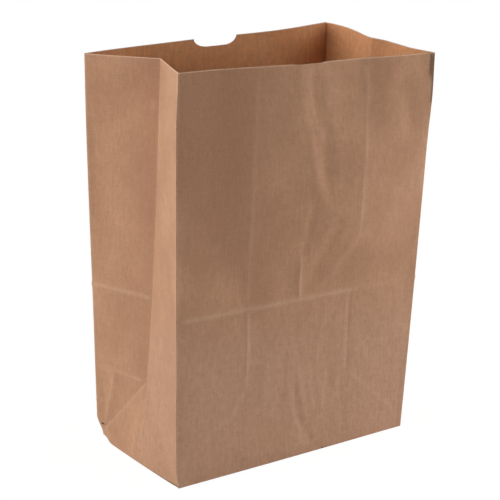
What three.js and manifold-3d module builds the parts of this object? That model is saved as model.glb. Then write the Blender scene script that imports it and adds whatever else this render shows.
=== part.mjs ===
// A tall kraft paper bag with side gussets and a folded square bottom, standing open.
// One folded sheet, so one solid: walls of real paper thickness, open at the mouth.
//
// Millimetres, +Z up. The origin is the centre of the base, on the surface the bag stands on.
// The front panel faces -Y. The back panel has the thumb notch and the glued lap.

import * as THREE from 'three';
import Module from 'manifold-3d';

const wasm = await Module();
wasm.setup();

// Driving dimensions of the bag
const FACE_WIDTH = 304;
const GUSSET_DEPTH = 176;
const STANDING_HEIGHT = 439;
const PAPER = 0.2;

// How the mouth has moved from straight above each corner of the base, and how far the cut
// edge of that fold rises above the standing height: the bag has been opened by hand.
const MOUTH = {
  frontLeft: { dx: 25.1, dy: 31.6, rise: -1.4 },
  frontRight: { dx: 21.2, dy: -15.1, rise: -2.9 },
  backRight: { dx: 2.7, dy: -17.7, rise: 10.8 },
  backLeft: { dx: 3.8, dy: 9.4, rise: -0.9 },
};

// Side gussets. The centre crease starts at the point where the base folds meet, and its paper
// keeps its width, so a mouth that closes pushes the crease in.
const LEFT_GUSSET = { insetAtBase: 16.6, hollow: 2.5 };
const RIGHT_GUSSET = { insetAtBase: 6.0, hollow: 0 };
const LEAST_MOUTH_INSET = 6.0;

// Soft curves of the panels at the mouth, fading out with the depth below the cut edge. Each
// stands out from the panel, or in where it is negative.
const FRONT_WAVES = {
  depth: 238,
  curves: [
    { out: 2.7, from: 135, spread: 35 },
    { out: -3.0, from: 48, spread: 30 },
    { out: -1.8, from: 210, spread: 30 },
  ],
};
const BACK_WAVES = {
  depth: 258,
  curves: [
    { out: -11.3, from: 232, spread: 62 },
    { out: 3.1, from: 40, spread: 50 },
  ],
};
const RIGHT_WAVES = {
  depth: 170,
  curves: [
    { out: -2.8, from: 28, spread: 14 },
    { out: 3.3, from: 72, spread: 16 },
  ],
};
const REAR_SWELL = { out: 7.2, skew: 1.3 };

// Vertical folds: how far each stands off the straight line from its base to its mouth corner
const ARCH = {
  frontLeft: { x: -4.0, y: -4.8 },
  frontRight: { x: 1.3, y: 0 },
  backRight: { x: 0, y: 0 },
  backLeft: { x: -1.1, y: 0 },
};
const FRONT_LEFT_FOLD = { out: 2.2, footHeight: 20, topDepth: 58 };
const BACK_LEFT_FOLD = { inX: 1.6, inY: 1.0, from: 120, to: 380 };

// The line pressed all round where the folded bottom's edge lay against the flat bag, a little
// higher than the bottom is deep
const PRESSED_RIDGE = { out: 0.7, halfWidth: 4, aboveDepth: 5.3 };

// Folded bottom: the flaps lap past the centre line, with their ends cut square
const CREASE_CELLS = 8;
const LAP_CELLS = 2;

// Glued lap down the back panel, a second layer of paper
const SEAM = { offset: -4.5, width: 18, foot: 3, setback: 0.5 };

// Thumb notch in the top edge of the back panel: a flat bottom between two elliptic ends
const NOTCH = {
  offset: 6,
  halfWidth: 26.3,
  depth: 10.9,
  leftRound: 18,
  rightRound: 14,
  segments: 12,
  reach: 30,
};

// Corners of the base that have been knocked in
const CRUSHED_CORNERS = [
  { side: -1, end: 1, push: [5, -4.5, 3.5], reach: [34, 34, 22] },
  { side: -1, end: -1, push: [1.6, 0.8, 0], reach: [16, 16, 16] },
];

// Mesh density above the base folds
const ROWS_BELOW_RIDGE = 3;
const ROWS_ABOVE_RIDGE = 5;
const MOUTH_ROWS = 4;
const MOUTH_BAND = 60;
const CELLS_LEFT_OF_SEAM = 3;
const SEAM_CELLS = 2;
const CELLS_RIGHT_OF_SEAM = 3;

const halfWidth = FACE_WIDTH / 2;
const halfDepth = GUSSET_DEPTH / 2;
const cell = halfDepth / CREASE_CELLS;
const ridgeHeight = GUSSET_DEPTH + PRESSED_RIDGE.aboveDepth;

const clamp01 = (x) => Math.min(1, Math.max(0, x));
const lerp = (a, b, t) => a + (b - a) * t;
const bell = (x, centre, spread) => Math.exp(-(((x - centre) / spread) ** 2));

function fade(from, to, x) {
  const t = clamp01((x - from) / (to - from));
  return t * t * (3 - 2 * t);
}

function nearMouth(height, depth) {
  return fade(STANDING_HEIGHT - depth, STANDING_HEIGHT, height);
}

const CORNERS = {
  frontLeft: { x: -halfWidth, y: -halfDepth },
  frontRight: { x: halfWidth, y: -halfDepth },
  backRight: { x: halfWidth, y: halfDepth },
  backLeft: { x: -halfWidth, y: halfDepth },
};

// Plan position of a vertical fold at a height measured along the paper
function foldAt(name, height) {
  const t = height / STANDING_HEIGHT;
  const arch = 4 * t * (1 - t);
  let x = CORNERS[name].x + MOUTH[name].dx * t + ARCH[name].x * arch;
  let y = CORNERS[name].y + MOUTH[name].dy * t + ARCH[name].y * arch;
  if (name === 'frontLeft') {
    const { out, footHeight, topDepth } = FRONT_LEFT_FOLD;
    x -= out * fade(0, footHeight, height) * (1 - nearMouth(height, topDepth));
  }
  if (name === 'backLeft') {
    const low = 1 - fade(BACK_LEFT_FOLD.from, BACK_LEFT_FOLD.to, height);
    x += BACK_LEFT_FOLD.inX * low;
    y -= BACK_LEFT_FOLD.inY * low;
  }
  return { x, y, rise: MOUTH[name].rise };
}

function ridge(height) {
  return PRESSED_RIDGE.out * clamp01(1 - Math.abs(height - ridgeHeight) / PRESSED_RIDGE.halfWidth);
}

// A panel between two vertical folds: the straight run, its outward normal and its rise
function run(fromName, toName, share, height) {
  const a = foldAt(fromName, height);
  const b = foldAt(toName, height);
  const length = Math.hypot(b.x - a.x, b.y - a.y);
  return {
    x: lerp(a.x, b.x, share),
    y: lerp(a.y, b.y, share),
    nx: (b.y - a.y) / length,
    ny: (a.x - b.x) / length,
    length,
    rise: lerp(a.rise, b.rise, share),
  };
}

function place(base, out, rise, height) {
  const z = height + rise * fade(ridgeHeight, STANDING_HEIGHT, height);
  return [base.x + base.nx * out, base.y + base.ny * out, z];
}

function waves({ depth, curves }, along, height) {
  const out = curves.reduce((sum, curve) => sum + curve.out * bell(along, curve.from, curve.spread), 0);
  return out * nearMouth(height, depth);
}

function frontPanel(along, height) {
  const base = run('frontLeft', 'frontRight', along / FACE_WIDTH, height);
  return place(base, waves(FRONT_WAVES, along, height) + ridge(height), base.rise, height);
}

// Measured from the back left fold
function backPanel(along, height) {
  const base = run('backRight', 'backLeft', 1 - along / FACE_WIDTH, height);
  return place(base, waves(BACK_WAVES, along, height) + ridge(height), base.rise, height);
}

function mouthInset(mouthLength) {
  return Math.sqrt(Math.max(halfDepth ** 2 - mouthLength ** 2 / 4, LEAST_MOUTH_INSET ** 2));
}

// How far the gusset lies inside the plane through its two vertical folds. Below the point
// where the base folds meet, two creases at 45 degrees run down to the corners of the base.
function gussetInset(gusset, fromName, toName, fromFold, height) {
  const mouth = run(fromName, toName, 0, STANDING_HEIGHT).length;
  const up = clamp01((height - halfDepth) / (STANDING_HEIGHT - halfDepth));
  const atCrease = lerp(gusset.insetAtBase, mouthInset(mouth), up) + gusset.hollow * 4 * up * (1 - up);
  return (atCrease * Math.min(fromFold, height)) / halfDepth;
}

// The crease's own edge lies halfway between the rises of the two folds
function leftGusset(fromFront, height) {
  const share = fromFront / GUSSET_DEPTH;
  const base = run('backLeft', 'frontLeft', 1 - share, height);
  const fromFold = Math.min(fromFront, GUSSET_DEPTH - fromFront);
  const inset = gussetInset(LEFT_GUSSET, 'backLeft', 'frontLeft', fromFold, height);
  return place(base, ridge(height) - inset, base.rise, height);
}

function rightGusset(fromFront, height) {
  const share = fromFront / GUSSET_DEPTH;
  const base = run('frontRight', 'backRight', share, height);
  const fromFold = Math.min(fromFront, GUSSET_DEPTH - fromFront);
  const inset = gussetInset(RIGHT_GUSSET, 'frontRight', 'backRight', fromFold, height);
  const rear = clamp01(fromFront / halfDepth - 1) ** REAR_SWELL.skew;
  const swell = REAR_SWELL.out * Math.sin(Math.PI * rear) * nearMouth(height, RIGHT_WAVES.depth);
  const out = swell + waves(RIGHT_WAVES, fromFront, height);
  const foldFade = Math.min(1, fromFold / cell);
  return place(base, out * foldFade + ridge(height) - inset, base.rise, height);
}

// A knocked-in corner moves everything round it, walls and base alike
function crush([x, y, z]) {
  const moved = [x, y, z];
  for (const { side, end, push, reach } of CRUSHED_CORNERS) {
    const away = Math.hypot(
      (x - side * halfWidth) / reach[0],
      (y - end * halfDepth) / reach[1],
      z / reach[2],
    );
    const share = 1 - fade(0, 1, away);
    push.forEach((distance, axis) => {
      moved[axis] += distance * share;
    });
  }
  return moved;
}

// Grid lines. Those of the base run on up the walls, so that every crease follows mesh edges.
function steps(from, to, count) {
  return Array.from({ length: count }, (_, i) => lerp(from, to, i / count));
}

const seamLeft = SEAM.offset - SEAM.width / 2;
const seamRight = SEAM.offset + SEAM.width / 2;
const flapEnd = halfWidth - halfDepth;
const GRID_X = [
  ...steps(-halfWidth, -flapEnd, CREASE_CELLS),
  ...steps(-flapEnd, seamLeft, CELLS_LEFT_OF_SEAM),
  ...steps(seamLeft, seamRight, SEAM_CELLS),
  ...steps(seamRight, flapEnd, CELLS_RIGHT_OF_SEAM),
  ...steps(flapEnd, halfWidth, CREASE_CELLS),
  halfWidth,
];
const GRID_Y = [...steps(-halfDepth, halfDepth, 2 * CREASE_CELLS), halfDepth];
const HEIGHTS = [
  ...steps(0, halfDepth, CREASE_CELLS),
  ...steps(halfDepth, ridgeHeight - PRESSED_RIDGE.halfWidth, ROWS_BELOW_RIDGE),
  ...steps(ridgeHeight - PRESSED_RIDGE.halfWidth, ridgeHeight + PRESSED_RIDGE.halfWidth, 2),
  ...steps(ridgeHeight + PRESSED_RIDGE.halfWidth, STANDING_HEIGHT - MOUTH_BAND, ROWS_ABOVE_RIDGE),
  ...steps(STANDING_HEIGHT - MOUTH_BAND, STANDING_HEIGHT, MOUTH_ROWS),
  STANDING_HEIGHT,
];
const lastX = GRID_X.length - 1;
const lastY = GRID_Y.length - 1;

// The columns of the walls, once round from the front left fold. Each knows the panel it
// follows and the grid point of the base below it.
function wallColumns() {
  const columns = [];
  for (let i = 0; i < lastX; i += 1) {
    columns.push({ at: (h) => frontPanel(GRID_X[i] + halfWidth, h), foot: [i, 0] });
  }
  for (let j = 0; j < lastY; j += 1) {
    columns.push({ at: (h) => rightGusset(GRID_Y[j] + halfDepth, h), foot: [lastX, j] });
  }
  for (let i = lastX; i > 0; i -= 1) {
    columns.push({ at: (h) => backPanel(GRID_X[i] + halfWidth, h), foot: [i, lastY] });
  }
  for (let j = lastY; j > 0; j -= 1) {
    columns.push({ at: (h) => leftGusset(GRID_Y[j] + halfDepth, h), foot: [0, j] });
  }
  return columns;
}

// Outward plan direction at each column of one ring, long enough to keep a step of one unit
// square to both neighbouring faces
function mitres(ring) {
  return ring.map((point, i) => {
    const before = ring[(i + ring.length - 1) % ring.length];
    const after = ring[(i + 1) % ring.length];
    const normal = (a, b) => {
      const length = Math.hypot(b[0] - a[0], b[1] - a[1]);
      return [(b[1] - a[1]) / length, (a[0] - b[0]) / length];
    };
    const n1 = normal(before, point);
    const n2 = normal(point, after);
    const scale = 1 / (1 + n1[0] * n2[0] + n1[1] * n2[1]);
    return [(n1[0] + n2[0]) * scale, (n1[1] + n2[1]) * scale];
  });
}

class Surface {
  constructor() {
    this.positions = [];
    this.triangles = [];
  }

  vertex(point) {
    this.positions.push(...point);
    return this.positions.length / 3 - 1;
  }

  quad(a, b, c, d) {
    this.triangles.push(a, b, c, a, c, d);
  }

  solid() {
    const mesh = new wasm.Mesh({
      numProp: 3,
      vertProperties: Float32Array.from(this.positions),
      triVerts: Uint32Array.from(this.triangles),
    });
    return new wasm.Manifold(mesh);
  }
}

// The layers of the folded bottom, counted in sheets up from the ground. The front flap is
// outermost, the back flap lies on it, and the ends of the gussets lie on both.
const FRONT_FLAP = 0;
const BACK_FLAP = 1;
const GUSSET_END = 2;
const FLOOR = 3;
const lapEnd = LAP_CELLS * cell;

function layerAt(x, y) {
  const pastFlapEnd = Math.abs(x) - flapEnd;
  const inFrontFlap = y < 0 ? pastFlapEnd < -y : pastFlapEnd < 0 && y < lapEnd;
  if (inFrontFlap) return FRONT_FLAP;
  return y > 0 && pastFlapEnd < y ? BACK_FLAP : GUSSET_END;
}

// Underside of the bottom: a grid of triangles at the height of their layers, with the cut
// and folded edges of the flaps as small risers between them
function addUnderside(surface, footIndex) {
  const vertices = new Map();
  const at = (i, j, layer) => {
    const onEdge = i === 0 || j === 0 || i === lastX || j === lastY;
    if (onEdge && layer === GUSSET_END) return footIndex(i, j);
    const key = `${i},${j},${layer}`;
    if (!vertices.has(key)) {
      const [x, y, z] = crush([GRID_X[i], GRID_Y[j], layer * PAPER]);
      vertices.set(key, surface.vertex([x, y, z]));
    }
    return vertices.get(key);
  };

  const edges = new Map();
  const addFace = (corners) => {
    const x = corners.reduce((sum, [i]) => sum + GRID_X[i], 0) / 3;
    const y = corners.reduce((sum, [, j]) => sum + GRID_Y[j], 0) / 3;
    const layer = layerAt(x, y);
    surface.triangles.push(...corners.map(([i, j]) => at(i, j, layer)));
    corners.forEach((from, k) => {
      const to = corners[(k + 1) % 3];
      edges.set(`${from}>${to}`, { from, to, layer });
    });
  };

  for (let i = 0; i < lastX; i += 1) {
    for (let j = 0; j < lastY; j += 1) {
      const rising = (i < lastX / 2) === (j < lastY / 2);
      const [a, b, c, d] = [[i, j], [i, j + 1], [i + 1, j + 1], [i + 1, j]];
      if (rising) {
        addFace([a, b, c]);
        addFace([a, c, d]);
      } else {
        addFace([a, b, d]);
        addFace([b, c, d]);
      }
    }
  }

  for (const { from, to, layer } of edges.values()) {
    const across = edges.get(`${to}>${from}`);
    const other = across ? across.layer : GUSSET_END;
    for (let step = layer; step < other; step += 1) {
      surface.quad(at(...to, step), at(...from, step), at(...from, step + 1), at(...to, step + 1));
    }
  }
}

function addFloor(surface, footIndex) {
  const inside = (value, half) => Math.min(half - PAPER, Math.max(PAPER - half, value));
  const vertices = GRID_X.map((x, i) => GRID_Y.map((y, j) => {
    if (i === 0 || j === 0 || i === lastX || j === lastY) return footIndex(i, j);
    return surface.vertex(crush([inside(x, halfWidth), inside(y, halfDepth), FLOOR * PAPER]));
  }));
  for (let i = 0; i < lastX; i += 1) {
    for (let j = 0; j < lastY; j += 1) {
      surface.quad(vertices[i][j], vertices[i + 1][j], vertices[i + 1][j + 1], vertices[i][j + 1]);
    }
  }
}

// The body of the bag: outer wall, inner wall, cut edge at the mouth, floor and underside
function bagBody(columns) {
  const surface = new Surface();
  const count = columns.length;
  const outer = [];
  const inner = [];
  HEIGHTS.forEach((height) => {
    const ring = columns.map((column) => column.at(height));
    const out = mitres(ring);
    const lift = height === 0 ? 1 : 0;
    outer.push(ring.map(([x, y, z]) => surface.vertex(crush([x, y, z + lift * GUSSET_END * PAPER]))));
    inner.push(ring.map(([x, y, z], i) => surface.vertex(
      crush([x - out[i][0] * PAPER, y - out[i][1] * PAPER, z + lift * FLOOR * PAPER]),
    )));
  });

  for (let row = 0; row + 1 < HEIGHTS.length; row += 1) {
    for (let i = 0; i < count; i += 1) {
      const next = (i + 1) % count;
      surface.quad(outer[row][i], outer[row][next], outer[row + 1][next], outer[row + 1][i]);
      surface.quad(inner[row][next], inner[row][i], inner[row + 1][i], inner[row + 1][next]);
    }
  }
  const top = HEIGHTS.length - 1;
  for (let i = 0; i < count; i += 1) {
    const next = (i + 1) % count;
    surface.quad(outer[top][i], outer[top][next], inner[top][next], inner[top][i]);
  }

  const columnAbove = new Map(columns.map(({ foot }, i) => [foot.join(), i]));
  addUnderside(surface, (i, j) => outer[0][columnAbove.get(`${i},${j}`)]);
  addFloor(surface, (i, j) => inner[0][columnAbove.get(`${i},${j}`)]);
  return surface.solid();
}

// A strip of paper on the outside of the back panel, sunk half a sheet into it
function seamLap() {
  const surface = new Surface();
  const edge = 0.5;
  const across = [seamLeft + edge, SEAM.offset, seamRight - edge].map((x) => x + halfWidth);
  const foot = Math.min(SEAM.foot, cell / 2);
  const heights = [foot, ...HEIGHTS.filter((h) => h > foot && h < STANDING_HEIGHT)];
  heights.push(STANDING_HEIGHT - SEAM.setback);
  const layer = (out) => heights.map((height) => across.map((along) => {
    const [x, y, z] = backPanel(along, height);
    const { nx, ny } = run('backRight', 'backLeft', 0.5, height);
    return surface.vertex([x + nx * out, y + ny * out, z]);
  }));
  const face = layer(PAPER);
  const sunk = layer(-PAPER / 2);
  const rows = heights.length;
  for (let row = 0; row + 1 < rows; row += 1) {
    for (let i = 0; i + 1 < across.length; i += 1) {
      surface.quad(face[row][i + 1], face[row][i], face[row + 1][i], face[row + 1][i + 1]);
      surface.quad(sunk[row][i], sunk[row][i + 1], sunk[row + 1][i + 1], sunk[row + 1][i]);
    }
    const last = across.length - 1;
    surface.quad(face[row][0], sunk[row][0], sunk[row + 1][0], face[row + 1][0]);
    surface.quad(sunk[row][last], face[row][last], face[row + 1][last], sunk[row + 1][last]);
  }
  for (let i = 0; i + 1 < across.length; i += 1) {
    surface.quad(face[0][i], face[0][i + 1], sunk[0][i + 1], sunk[0][i]);
    surface.quad(sunk[rows - 1][i], sunk[rows - 1][i + 1], face[rows - 1][i + 1], face[rows - 1][i]);
  }
  return surface.solid();
}

// The cutter of the thumb notch, square to the panel and level with its cut edge
function notchCutter() {
  const { halfWidth: half, depth, leftRound, rightRound, reach } = NOTCH;
  const outline = new THREE.Shape();
  outline.moveTo(-half, depth);
  outline.lineTo(-half, 0);
  outline.absellipse(leftRound - half, 0, leftRound, depth, Math.PI, 1.5 * Math.PI, false);
  outline.absellipse(half - rightRound, 0, rightRound, depth, 1.5 * Math.PI, 2 * Math.PI, false);
  outline.lineTo(half, depth);
  outline.closePath();
  const cutter = new THREE.ExtrudeGeometry(outline, {
    depth: 2 * reach,
    bevelEnabled: false,
    curveSegments: NOTCH.segments,
  });

  const along = halfWidth + NOTCH.offset;
  const edgePoint = (at) => new THREE.Vector3(...backPanel(at, STANDING_HEIGHT));
  const right = edgePoint(along + half).sub(edgePoint(along - half)).normalize();
  const inward = new THREE.Vector3().crossVectors(right, new THREE.Vector3(0, 0, 1)).normalize();
  const up = new THREE.Vector3().crossVectors(inward, right);
  const frame = new THREE.Matrix4().makeBasis(right, up, inward);
  frame.setPosition(edgePoint(along).addScaledVector(inward, -reach));
  cutter.applyMatrix4(frame);
  return solidOf(cutter);
}

function solidOf(geometry) {
  const positions = geometry.getAttribute('position');
  const surface = new Surface();
  const seen = new Map();
  const indices = geometry.index ? Array.from(geometry.index.array) : [...Array(positions.count).keys()];
  for (const index of indices) {
    const point = new THREE.Vector3().fromBufferAttribute(positions, index);
    const key = point.toArray().map((value) => Math.round(value * 1e4)).join();
    if (!seen.has(key)) seen.set(key, surface.vertex(point.toArray()));
    surface.triangles.push(seen.get(key));
  }
  return surface.solid();
}

function geometryOf(solid) {
  const mesh = solid.getMesh();
  const geometry = new THREE.BufferGeometry();
  geometry.setAttribute('position', new THREE.BufferAttribute(new Float32Array(mesh.vertProperties), 3));
  geometry.setIndex(new THREE.BufferAttribute(new Uint32Array(mesh.triVerts), 1));
  geometry.computeVertexNormals();
  return geometry;
}

const kraft = new THREE.MeshStandardMaterial({ color: 0xb08763, roughness: 0.85, metalness: 0 });

const bag = bagBody(wallColumns()).add(seamLap()).subtract(notchCutter());
const paperBag = new THREE.Mesh(geometryOf(bag), kraft);
paperBag.name = 'paper_bag';

const model = new THREE.Group();
model.add(paperBag);

export default model;
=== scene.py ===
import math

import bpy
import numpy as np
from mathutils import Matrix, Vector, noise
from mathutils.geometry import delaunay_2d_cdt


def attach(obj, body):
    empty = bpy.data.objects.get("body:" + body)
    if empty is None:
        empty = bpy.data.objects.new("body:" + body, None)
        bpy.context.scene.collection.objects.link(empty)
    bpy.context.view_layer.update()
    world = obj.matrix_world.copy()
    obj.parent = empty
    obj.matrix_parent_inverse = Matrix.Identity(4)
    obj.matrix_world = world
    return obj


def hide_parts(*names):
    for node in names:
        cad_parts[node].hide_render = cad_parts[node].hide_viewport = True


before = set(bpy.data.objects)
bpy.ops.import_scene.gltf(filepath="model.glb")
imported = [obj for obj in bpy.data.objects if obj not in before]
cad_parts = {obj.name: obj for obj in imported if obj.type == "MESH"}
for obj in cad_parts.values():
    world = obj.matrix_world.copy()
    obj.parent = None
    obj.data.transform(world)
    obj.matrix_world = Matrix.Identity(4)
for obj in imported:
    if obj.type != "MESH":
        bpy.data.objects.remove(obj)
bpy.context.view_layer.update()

# A tall kraft paper bag standing open: one folded sheet with its creases, cut edges and paper,
# on a pale floor in soft light, seen by the camera of the photograph.
#
# The sheet's shape is worked out in millimetres, as in the part's source, and its mesh is in
# metres. Every wall point has a place along its panel, from the panel's left or front fold, and
# a height measured up the paper.

MM = 0.001
NODE = "paper_bag"

# Driving dimensions of the bag
FACE_WIDTH = 304.0
GUSSET_DEPTH = 176.0
STANDING_HEIGHT = 439.0
PAPER = 0.2
HALF_WIDTH = FACE_WIDTH / 2
HALF_DEPTH = GUSSET_DEPTH / 2

# How each vertical fold's mouth end has moved from straight above its corner of the base, and
# how far it rises above the standing height
MOUTH = {
    "front_left": (25.1, 31.6, -1.4),
    "front_right": (21.2, -15.1, -2.9),
    "back_right": (2.7, -17.7, 10.8),
    "back_left": (3.8, 9.4, -0.9),
}
CORNERS = {
    "front_left": (-HALF_WIDTH, -HALF_DEPTH),
    "front_right": (HALF_WIDTH, -HALF_DEPTH),
    "back_right": (HALF_WIDTH, HALF_DEPTH),
    "back_left": (-HALF_WIDTH, HALF_DEPTH),
}

# How far each vertical fold stands off the straight line between its ends, halfway up
ARCH = {
    "front_left": (-4.0, -4.8),
    "front_right": (1.3, 0.0),
    "back_right": (0.0, 0.0),
    "back_left": (-1.1, 0.0),
}
# The front left fold stands further out from above its foot to some way below the mouth, and a
# little more low down, which fades between two heights
FRONT_LEFT_OUT, FOOT_HEIGHT, TOP_DEPTH = 2.2, 20.0, 58.0
FRONT_LEFT_LOW, FRONT_LEFT_FADE = 1.0, (70.0, 130.0)
# The back left fold stands in by this much in x and y, which fades between two heights
BACK_LEFT_IN, BACK_LEFT_FADE = (1.6, 1.0), (120.0, 380.0)

# Side gussets: how far in the centre crease is at the point where the base folds meet, how much
# it hollows halfway up, and the least that it is in at the mouth
LEFT_INSET, LEFT_HOLLOW = 16.6, 2.5
RIGHT_INSET, RIGHT_HOLLOW = 6.0, 0.0
LEAST_MOUTH_INSET = 6.0

# Soft curves of the panels at the mouth: depth below the cut edge, then how far out, where
# along the panel and how wide each one is
FRONT_WAVES = (238, [(2.7, 135, 35), (-3.0, 48, 30), (-1.8, 210, 30)])
BACK_WAVES = (258, [(-11.3, 232, 62), (3.1, 40, 50)])
RIGHT_WAVES = (170, [(-2.8, 28, 14), (3.3, 72, 16)])
# The rear half of the right gusset also swells out there, a little nearer to its fold than to
# the crease, and all its curves fade out this near to its folds
REAR_SWELL, REAR_SKEW = 7.2, 1.3
GUSSET_EDGE = 11.0

# The front panel bulges above the pressed line: how far out, where along the panel with its
# spread to the left, and at which height and how tall. To the right the panel runs straight back
# to its fold, after a soft bend, and beside the left fold the bulges fade out.
FRONT_SWELLS = [(10.5, 216, 75, 262, 42), (8.0, 216, 75, 335, 45), (4.0, 75, 45, 350, 60)]
SOFT_BEND = 22.0
SWELL_EDGE = 30.0

# Near the mouth the front panel dips in beside its right fold, and a narrow lip slopes out again
# to the fold: its width at the mouth, how far down it reaches, its slope, how softly the panel
# comes out of the dip, and the width below which the lip leaves no trace in wear and painted shade
LIP_WIDTH, LIP_REACH, LIP_SLOPE, LIP_SOFT = 5.0, 60.0, 0.60, 25.0
LEAST_LIP = 0.3
# That fold also stands off its line below the mouth: how far, at which height and how tall
LIP_FOLD_OUT, LIP_FOLD_AT, LIP_FOLD_TALL = 2.0, 392.0, 34.0

# The left gusset turns under at its foot: the radius, and how near to its front and back folds
# the turn fades out
FOOT_CURL, FOOT_CURL_ENDS = 1.4, (8.0, 30.0)

# How far the feet of the walls bow out between the corners, and how high up that reaches
LEFT_FOOT_BOW, FRONT_FOOT_BOW, FOOT_BOW_HEIGHT = 0.9, 1.0, 45.0

# The line pressed all round, where the edge of the folded bottom lay against the flat bag
PRESS_LINE = 181.3
PRESS_OUT, PRESS_HALF_WIDTH = 0.75, 2.6
# On the front panel it starts between two places and loses most of its strength between two
# others, and on the left gusset it is weak in front of the centre crease
FRONT_PRESS_STARTS, FRONT_PRESS_FADES, FRONT_PRESS_LOSS = (2.0, 12.0), (212.0, 236.0), 0.8
LEFT_PRESS_WEAK, LEFT_PRESS_GROWS = 0.1, (88.0, 96.0)

# The glued lap on the back panel, and the thumb notch in its top edge
LAP_FROM, LAP_TO = 138.5, 155.5
NOTCH_AT, NOTCH_HALF_WIDTH, NOTCH_DEPTH = 157.8, 25.5, 10.0
NOTCH_LEFT, NOTCH_RIGHT = NOTCH_AT - NOTCH_HALF_WIDTH, NOTCH_AT + NOTCH_HALF_WIDTH
NOTCH_LEFT_ROUND, NOTCH_RIGHT_ROUND = 18.0, 14.0

# The front panel's cut edge is a little low between two places, with a short step at each, and
# nicked at another
LOW_EDGE_FROM, LOW_EDGE_TO, LOW_EDGE_DROP, LOW_EDGE_STEP = 131.0, 166.0, 0.8, 1.0
NICK_AT, NICK_DROP, NICK_SPREAD = 55.3, 0.9, 1.2

# How far below the mouth the rows of the mesh give way to the notch and to the front's low edge
NOTCH_BAND, FRONT_EDGE_BAND = 40.0, 14.0

# Relief fades out this near to a fold or a centre crease and this near to the foot. Towards the
# mouth the panels are less uneven, by this share and from this height up.
FOLD_CALM, FOOT_CALM = 8.0, 6.0
MOUTH_CALM, MOUTH_CALM_FROM = 0.6, 380.0

# Wear of the paper, and how far it reaches: on the panels' folds, the gussets' centre creases and
# 45 degree creases, the pressed line, the cut edge and the lip
FOLD_WEAR, CREASE_WEAR, FOLD_REACH = 0.7, 0.4, 1.6
SLANT_WEAR, REAR_SLANT_WEAR, SLANT_REACH, REAR_SOFT = 0.2, 0.4, 3.0, 4.0
PRESS_WEAR = 0.6
CUT_WEAR, CUT_FROM, CUT_FULL = 2.2, STANDING_HEIGHT - 1.3, STANDING_HEIGHT - 0.5
LIP_WEAR, LIP_WEAR_IN, LIP_WEAR_REACH = 0.8, 1.2, 0.9
# The front right fold is less worn, except on the cut edge
RIGHT_FOLD_LESS, RIGHT_FOLD_BAND, CUT_BAND = 0.7, (3.0, 1.0), STANDING_HEIGHT - 1.5

# Mesh density: the columns beside a fold and beside a printed line, the cells between the folds
# and lines, the rows, and the grid of the bottom
FINE = 0.45
BESIDE_LINE = (0.7, 1.7)
GUSSET_CELLS = 32
FRONT_CELLS = (28, 24, 26, 30)
BACK_COLUMN = 6.0
ROUND_CELLS, FLAT_CELLS = 9, 3
WALL_ROW, TOP_ROW = 3.6, 3.0
FOOT_ROWS = [0.0, 0.7, FOOT_CURL, 1.9, 2.3]
RIDGE_ROWS = (-2, -1, -0.5, 0, 0.5, 1)
BASE_GRID = 12.0


def clamp01(x):
    return np.clip(x, 0.0, 1.0)


def fade(start, end, x):
    t = clamp01((np.asarray(x, float) - start) / (end - start))
    return t * t * (3 - 2 * t)


def bell(x, centre, spread):
    return np.exp(-(((x - centre) / spread) ** 2))


def near_mouth(height, depth):
    return fade(STANDING_HEIGHT - depth, STANDING_HEIGHT, height)


# The folds and panels

def fold_at(name, height):
    """Plan place of a vertical fold, and how far its cut end rises."""
    t = height / STANDING_HEIGHT
    dx, dy, rise = MOUTH[name]
    arch = 4 * t * (1 - t)
    x = CORNERS[name][0] + dx * t + ARCH[name][0] * arch
    y = CORNERS[name][1] + dy * t + ARCH[name][1] * arch
    if name == "front_left":
        x = x - FRONT_LEFT_OUT * fade(0, FOOT_HEIGHT, height) * (1 - near_mouth(height, TOP_DEPTH))
        x = x - FRONT_LEFT_LOW * (1 - fade(*FRONT_LEFT_FADE, height))
    if name == "front_right":
        y = y - LIP_FOLD_OUT * bell(height, LIP_FOLD_AT, LIP_FOLD_TALL)
    if name == "back_left":
        low = 1 - fade(*BACK_LEFT_FADE, height)
        x = x + BACK_LEFT_IN[0] * low
        y = y - BACK_LEFT_IN[1] * low
    return x, y, rise


def run(start, end, share, height):
    """The straight line between two vertical folds: places, outward normal, length and rise."""
    ax, ay, a_rise = fold_at(start, height)
    bx, by, b_rise = fold_at(end, height)
    length = np.hypot(bx - ax, by - ay)
    return (
        ax + (bx - ax) * share,
        ay + (by - ay) * share,
        (by - ay) / length,
        (ax - bx) / length,
        length,
        a_rise + (b_rise - a_rise) * share,
    )


def place(base, out, height):
    """Points that stand out from a run by so much, at their height with the mouth's rise."""
    x, y, nx, ny, _, rise = base
    z = height + rise * fade(PRESS_LINE, STANDING_HEIGHT, height)
    return np.stack([x + nx * out, y + ny * out, z + 0 * x], axis=-1)


def waves(shape, along, height):
    depth, curves = shape
    return sum(out * bell(along, at, wide) for out, at, wide in curves) * near_mouth(height, depth)


def pressed(height):
    return bell(height, PRESS_LINE, PRESS_HALF_WIDTH)


def nearest_on(points, along, height):
    """Distance to a line drawn on a panel, and the share of its length at the nearest point."""
    pts = np.array(points, float)
    steps = np.hypot(*(pts[1:] - pts[:-1]).T)
    nearest = np.full(along.shape, np.inf)
    share = np.zeros(along.shape)
    passed = 0.0
    for a, b, step in zip(pts[:-1], pts[1:], steps):
        d = (b - a) / step
        t = np.clip((along - a[0]) * d[0] + (height - a[1]) * d[1], 0, step)
        away = np.hypot(along - a[0] - d[0] * t, height - a[1] - d[1] * t)
        closer = away < nearest
        nearest = np.where(closer, away, nearest)
        share = np.where(closer, (passed + t) / steps.sum(), share)
        passed += step
    return nearest, share


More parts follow.
